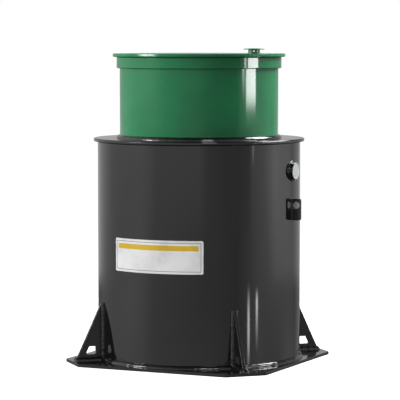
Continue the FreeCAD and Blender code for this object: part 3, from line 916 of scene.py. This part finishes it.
def wrapped_patch(half_width, low, high, corner, base, thickness):
    """A thin sheet wrapped on the tank's front, from a half width along the wall and its heights."""
    shape = Shape()
    columns = []
    for place in patch_places(half_width, corner):
        past = max(0.0, abs(place) - (half_width - corner))
        drop = corner - math.sqrt(max(0.0, corner ** 2 - past ** 2))
        angle = math.radians(FRONT_ANGLE) + place / TANK_RADIUS
        spoke = Vector((math.cos(angle), math.sin(angle), 0))
        column = []
        for row in range(STICKER_ROWS + 1):
            height = low + drop + (high - low - 2 * drop) * row / STICKER_ROWS
            column.append(shape.add(spoke * (base + thickness) + UP * height, spoke))
        columns.append(column)
    shape.join_all(columns, closed=False)
    patch_edge(shape, [column[0] for column in columns], 0, -1, thickness)
    patch_edge(shape, [column[-1] for column in columns], 0, 1, thickness)
    patch_edge(shape, columns[0], -1, 0, thickness)
    patch_edge(shape, columns[-1], 1, 0, thickness)
    return shape


def patch_part(left, right, low, high, base, thickness):
    """A small wrapped patch between two places along the wall."""
    shape = wrapped_patch((right - left) / 2, low, high, 0, base, thickness)
    return shape.placed(about_z(math.degrees((left + right) / 2 / TANK_RADIUS)))


def sticker_print(base):
    """The frame line printed near the sticker's edge."""
    edge = STICKER_HALF_WIDTH - PRINT_INSET
    low, high = STICKER_LOW + PRINT_INSET, STICKER_TOP - PRINT_INSET
    shape = patch_part(-edge, edge, low, low + PRINT_LINE, base, PRINT_SHEET)
    shape.merge(patch_part(-edge, edge, high - PRINT_LINE, high, base, PRINT_SHEET))
    for left in (-edge, edge - PRINT_LINE):
        side = patch_part(left, left + PRINT_LINE, low + PRINT_LINE, high - PRINT_LINE, base, PRINT_SHEET)
        shape.merge(side)
    return shape


# Base plate, tank and deck
make_piece("base_sheet", base_sheet(), base_black, ["base_plate"])
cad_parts["tank_wall"].data.materials[0] = tank_black
foot_bead = ring_bead(TANK_RADIUS, BASE_TOP, FOOT_WELD_LEG, FOOT_WELD_LEG, FOOT_STYLE, FOOT_SEED)
make_piece("foot_bead", foot_bead, weld_black, ["tank_foot_weld"])
deck = ring_section(NECK_BORE, DECK_RADIUS, WALL_TOP, DECK_TOP, SHEET_EDGE, DECK_OUTER_EDGES)
make_piece("deck_ring", lathe(deck, LARGE_TURN), tank_black, ["tank_deck"])
neck_bead = ring_bead(NECK_RADIUS, DECK_TOP, NECK_WELD_WIDTH, NECK_WELD_HEIGHT, NECK_STYLE, NECK_SEED)
make_piece("neck_bead", neck_bead, weld_black, ["neck_foot_weld"])
seam_bead = ring_bead(TANK_RADIUS, WALL_TOP, DECK_SEAM_LEG, DECK_SEAM_LEG, NECK_STYLE, SEAM_SEED, up=-UP)
make_piece("deck_seam_bead", seam_bead, weld_black)

# Gussets with their beads
gusset = gusset_sheet()
for number, (corner, angle) in enumerate(GUSSET_ANGLES.items(), start=1):
    upright = gusset.placed(radial_plane(angle))
    beads = gusset_beads(angle, GUSSET_SEED_STEP * number)
    make_piece(f"gusset_sheet_{corner}", upright, sheet_black, [f"gusset_{corner}"])
    make_piece(f"gusset_beads_{corner}", beads, weld_black, [f"gusset_weld_{corner}"])

# Spigots with their plugs, and lifting lugs
spigot = lathe(spigot_section(), SMALL_TURN)
plug = lathe_solid(plug_section(), SMALL_TURN)
for number, (side, angle) in enumerate(SPIGOT_ANGLES.items()):
    place = side_axis(angle, SPIGOT_HEIGHT)
    make_piece(f"{side}_stub", spigot.placed(place), sheet_black, [f"{side}_spigot"])
    make_piece(f"{side}_stub_bead", collar_bead(angle, COLLAR_SEED + number), weld_black)
    make_piece(f"{side}_cap", plug.placed(place), plug_grey, [f"{side}_plug"])
lug = lug_sheet()
for number, (side, angle) in enumerate(SIDE_ANGLES.items()):
    upright = lug.placed(radial_plane(angle))
    beads = side_beads(angle, LUG_HALF_THICKNESS, (LUG_LOW, LUG_TOP), LUG_WELD_LEG, FINE_STYLE,
                       LUG_SEED + LUG_SEED_STEP * number)
    make_piece(f"lug_sheet_{side}", upright, sheet_black, [f"lifting_lug_{side}"])
    make_piece(f"lug_beads_{side}", beads, weld_black, [f"lug_weld_{side}"])

# Neck, and the lid with its vent
neck = ring_section(NECK_BORE, NECK_RADIUS, DECK_TOP, NECK_TOP, SHEET_EDGE)
make_piece("neck_tube", lathe(neck, LARGE_TURN), neck_green, ["neck_wall"])
skirt = ring_section(SKIRT_BORE, SKIRT_RADIUS, SKIRT_LOW, LID_SEAT, SKIRT_EDGE, SKIRT_OUTER_EDGES)
make_piece("lid_band", lathe(skirt, LARGE_TURN), neck_green, ["lid_skirt"], "lid")
make_piece("lid_sheet", lid_sheet(), lid_green, ["lid_plate"], "lid")
make_piece("vent_ring", vent_collar(), lid_green, ["vent_collar"], "lid")
make_piece("vent_lid", vent_cap(), lid_green, ["vent_cap"], "lid")

# The sticker, left bare but for a frame line and a plain band
print_base = TANK_RADIUS + STICKER_SHEET
sticker = wrapped_patch(STICKER_HALF_WIDTH, STICKER_LOW, STICKER_TOP, STICKER_CORNER, TANK_RADIUS,
                        STICKER_SHEET)
make_piece("sticker", sticker, sticker_white)
make_piece("sticker_frame", sticker_print(print_base), print_grey)
band_half = STICKER_HALF_WIDTH - BAND_INSET
band = patch_part(-band_half, band_half, BAND_LOW, BAND_TOP, print_base, PRINT_SHEET)
make_piece("sticker_band", band, print_amber)


LEAST_FADE = 1e-4
FULL_SPREAD_DEG = 180


def heading(relative_deg):
    """The level direction from the tank's axis at an angle to the right of the camera's."""
    angle = math.radians(VIEW_AZIMUTH_DEG + relative_deg)
    return Vector((math.sin(angle), -math.cos(angle), 0))


def aim_at(thing, target):
    """Turns a lamp or the camera towards a place."""
    thing.rotation_mode = "QUATERNION"
    thing.rotation_quaternion = (target - thing.location).to_track_quat("-Z", "Y")


def softbox(name, relative_deg, rise_deg, distance, height, size, radiance, fades=(0.0, 0.0), side_fade=0.0,
            spread_deg=FULL_SPREAD_DEG, fill=False):
    """A flat lamp of even brightness, seen from a height on the tank's axis at a rise above level.

    It faces that point. Fades are the shares of the lamp, at its lower and its upper end, over which it
    comes up to its full brightness; side_fade is the same at its left and its right end. A narrow spread
    keeps the lamp's light near its axis, where its brightness is the one given. A fill lamp lights the
    object softly all over; the others are there to be mirrored in its gloss.
    """
    width, length = size
    lamp = bpy.data.lights.new(name, "AREA")
    lamp.shape = "RECTANGLE"
    lamp.size = width
    lamp.size_y = length
    lamp.energy = radiance * math.pi * width * length
    lamp.spread = math.radians(spread_deg)
    if spread_deg < FULL_SPREAD_DEG:
        half = lamp.spread / 2
        lamp.energy *= 1 - half / math.tan(half)
    if any(fades) or side_fade:
        lamp.use_nodes = True
        nodes = Nodes(lamp.node_tree)
        emission = lamp.node_tree.nodes["Emission"]
        split = nodes.new("ShaderNodeSeparateXYZ")
        nodes.link(nodes.new("ShaderNodeNewGeometry").outputs["Parametric"], split.inputs["Vector"])
        strength = 1.0
        for axis, ends in (("X", (side_fade, side_fade)), ("Y", fades)):
            low, high = (max(fade, LEAST_FADE) for fade in ends)
            rising = nodes.remap(split.outputs[axis], (0.0, low), WHOLE)
            falling = nodes.remap(split.outputs[axis], (1.0 - high, 1.0), (1.0, 0.0))
            strength = nodes.math("MULTIPLY", strength, nodes.math("MULTIPLY", rising, falling))
        nodes.link(strength, emission.inputs["Strength"])
    box = add_object(name, lamp)
    rise = math.radians(rise_deg)
    aim = UP * height
    box.location = aim + (heading(relative_deg) * math.cos(rise) + UP * math.sin(rise)) * distance
    aim_at(box, aim)
    box.visible_camera = False
    box.visible_glossy = not fill
    box.visible_diffuse = fill


# Lamps: direction and rise in degrees, then distance, height and size in metres, and radiance
softbox("strip_right", 76.1, 0, 4.2, 1.77, (1.266, 0.619), 15.8, fades=(0.29, 0.145))
softbox("strip_thin", 61.6, 0, 3.0, 1.76, (0.16, 0.40), 10.0, fades=(1.0, 0))
softbox("line_top", 56.6, 0, 3.0, 1.21, (0.07, 0.19), 1.4, fades=(0.9, 0))
softbox("line_low", 42.3, 0, 1.209, 0.18, (0.042, 0.64), 4.4, fades=(0.53, 0.41))
softbox("line_low_next", 50.3, 0, 1.192, 0.225, (0.042, 0.47), 7.8, fades=(1.3, 0.26))
softbox("box_right", 118, 40, 3.4, 1.4, (1.8, 1.6), 25.0, spread_deg=46)
for name, relative_deg, radiance in (("edge_left", -77.5, 38.0), ("edge_left_next", -66.0, 32.0)):
    softbox(name, relative_deg, 0, 6.0, 2.97, (2.6, 1.4), radiance, fades=(0.1, 0.2), side_fade=0.4,
            spread_deg=29)
softbox("small_left", -70, 24.7, 5.4, 0.1, (1.0, 0.6), 36.0, spread_deg=34)
softbox("small_front", 11.5, 30, 12.0, 1.4, (3.0, 1.4), 14.0)
softbox("fill_left", -80, 17, 5.0, 1.4, (5.5, 1.2), 10.0, fill=True)
softbox("fill_right", 124, 38, 5.0, 1.4, (5.0, 2.4), 15.5, fill=True)
softbox("fill_front", 18, 0, 2.2, 0.5, (0.8, 0.8), 6.0, spread_deg=90, fill=True)

# World: rings of brightness by height and by direction to the right of the camera's, in degrees
ROOM_RINGS = [
    (-40, [(-180, 0.03), (180, 0.03)]),
    (-16, [
        (-180, 0.12), (-140, 0.18), (-110, 0.32), (-83, 0.42), (-61, 0.32), (-23, 0.22), (15, 0.20),
        (43, 0.16), (74, 0.30), (114, 0.28), (134, 0.17), (180, 0.12),
    ]),
    (-9, [
        (-180, 0.20), (-156, 0.13), (-140, 0.25), (-130, 0.33), (-112, 0.42), (-97, 0.49), (-84, 0.50),
        (-69, 0.50), (-52, 0.385), (-28, 0.37), (10, 0.335), (26, 0.29), (43, 0.225), (60, 0.36),
        (72, 0.45), (83, 0.35), (100, 0.32), (119, 0.39), (141, 0.225), (156, 0.31), (180, 0.20),
    ]),
    (-6.5, [
        (-180, 0.20), (-156, 0.13), (-140, 0.28), (-130, 0.335), (-112, 0.42), (-97, 0.53), (-84, 0.62),
        (-69, 0.58), (-52, 0.395), (-28, 0.345), (10, 0.275), (26, 0.245), (43, 0.22), (60, 0.355),
        (72, 0.46), (83, 0.44), (100, 0.42), (119, 0.335), (141, 0.165), (156, 0.25), (180, 0.20),
    ]),
    (-5.8, [
        (-180, 0.52), (-156, 0.60), (-146, 0.59), (-130, 0.495), (-112, 0.48), (-97, 0.51), (-84, 0.58),
        (-69, 0.62), (-52, 0.43), (-28, 0.385), (10, 0.285), (26, 0.26), (43, 0.225), (60, 0.37),
        (72, 0.495), (83, 0.54), (95, 0.74), (100, 0.755), (119, 0.575), (130, 0.42), (141, 0.394),
        (156, 0.44), (180, 0.52),
    ]),
    (-3, [
        (-180, 0.62), (-156, 0.62), (-140, 0.60), (-128, 0.57), (-116, 0.49), (-90, 0.57), (-67, 0.64),
        (-58, 0.61), (-49, 0.48), (0, 0.49), (10, 0.33), (30, 0.265), (48, 0.265), (58, 0.30), (62, 0.50),
        (78, 0.61), (95, 1.03), (108, 0.78), (122, 0.60), (130, 0.38), (135, 0.36), (140, 0.43),
        (148, 0.43), (154, 0.38), (160, 0.68), (180, 0.62),
    ]),
    (-1, [
        (-180, 0.44), (-143, 0.45), (-122, 0.70), (-101, 0.96), (-84, 1.10), (-69, 1.08), (-56, 0.74),
        (-43, 0.59), (-19, 0.48), (4, 0.40), (16, 0.27), (48, 0.24), (58, 0.25), (61.5, 0.66), (72, 0.70),
        (94, 0.72), (106, 0.62), (118, 0.52), (128, 0.42), (141, 0.35), (155, 0.32), (170, 0.38),
        (180, 0.44),
    ]),
    (4, [
        (-180, 0.50), (-143, 0.45), (-122, 0.70), (-101, 0.90), (-84, 1.00), (-69, 1.00), (-56, 0.74),
        (-43, 0.59), (-19, 0.48), (4, 0.40), (16, 0.29), (48, 0.26), (96, 0.60), (126, 0.53), (141, 0.43),
        (180, 0.50),
    ]),
    (10, [
        (-180, 0.50), (-150, 0.50), (-120, 0.80), (-70, 0.85), (-50, 0.76), (-13, 0.42), (10, 0.43),
        (29, 0.50), (53, 0.65), (100, 0.45), (150, 0.40), (180, 0.50),
    ]),
    (28, [
        (-180, 0.12), (-120, 0.60), (-70, 0.50), (-20, 0.14), (30, 0.16), (60, 0.28), (90, 0.25),
        (180, 0.12),
    ]),
    (75, [(-180, 0.06), (180, 0.06)]),
]
RAMP_MIDDLE = 0.5


def ring_of_light(nodes, turn_share, stops):
    """Grey levels by direction, from stops of (degrees, level)."""
    node = nodes.new("ShaderNodeValToRGB")
    elements = node.color_ramp.elements
    node.color_ramp.interpolation = "LINEAR"
    while len(elements) < len(stops):
        elements.new(RAMP_MIDDLE)
    for element, (degrees, level) in zip(elements, stops):
        element.position = degrees / FULL_TURN_DEG + RAMP_MIDDLE
        element.color = (level, level, level, 1)
    nodes.link(turn_share, node.inputs["Fac"])
    return node.outputs["Color"]


def along_axis(nodes, direction, axis):
    """How far a direction goes along an axis."""
    node = nodes.new("ShaderNodeVectorMath", operation="DOT_PRODUCT")
    nodes.link(direction, node.inputs[0])
    node.inputs[1].default_value = axis
    return node.outputs["Value"]


world = bpy.data.worlds.new("studio")
bpy.context.scene.world = world
world.use_nodes = True
room = Nodes(world.node_tree)
background = world.node_tree.nodes["Background"]
direction = room.new("ShaderNodeTexCoord").outputs["Generated"]
ahead = along_axis(room, direction, heading(0))
rightward = along_axis(room, direction, heading(90))
turn = room.math("ARCTAN2", rightward, ahead)
turn_share = room.math("MULTIPLY_ADD", turn, 1 / (2 * math.pi), RAMP_MIDDLE)
rise = room.math("MULTIPLY", room.math("ARCSINE", along_axis(room, direction, UP)), math.degrees(1))
lower, stops = ROOM_RINGS[0]
level = ring_of_light(room, turn_share, stops)
for upper, stops in ROOM_RINGS[1:]:
    share = room.remap(rise, (lower, upper), WHOLE)
    level = room.mix(share, level, ring_of_light(room, turn_share, stops))
    lower = upper
seen = room.new("ShaderNodeLightPath").outputs["Is Camera Ray"]
room.link(room.mix(seen, level, (1.0, 1.0, 1.0)), background.inputs["Color"])

# Floor: a plain pale sheet that keeps the object's shadow
FLOOR_REACH = 60.0
FLOOR_GREY = 0.55
FLOOR_GLOW = 0.9
floor_mesh = bpy.data.meshes.new("floor")
corners = [(x * FLOOR_REACH, y * FLOOR_REACH, 0) for x, y in ((-1, -1), (1, -1), (1, 1), (-1, 1))]
floor_mesh.from_pydata(corners, [], [[0, 1, 2, 3]])
floor = add_object("floor", floor_mesh)
pale = bpy.data.materials.new("floor_pale")
pale.use_nodes = True
Nodes(pale.node_tree).set_inputs(pale.node_tree.nodes["Principled BSDF"], {
    "Base Color": (FLOOR_GREY, FLOOR_GREY, FLOOR_GREY),
    "Roughness": 1.0,
    "Specular IOR Level": 0.0,
    "Emission Color": (1, 1, 1),
    "Emission Strength": FLOOR_GLOW,
})
floor_mesh.materials.append(pale)
floor.visible_diffuse = False
floor.visible_glossy = False

# Camera
camera_data = bpy.data.cameras.new("camera")
camera_data.lens = CAMERA_LENS_MM
camera = add_object("camera", camera_data)
camera.location = heading(0) * CAMERA_DISTANCE + UP * CAMERA_HEIGHT
aim_at(camera, heading(90) * CAMERA_AIM_RIGHT + UP * CAMERA_AIM_HEIGHT)
bpy.context.scene.camera = camera

bpy.context.scene.view_settings.view_transform = "Standard"
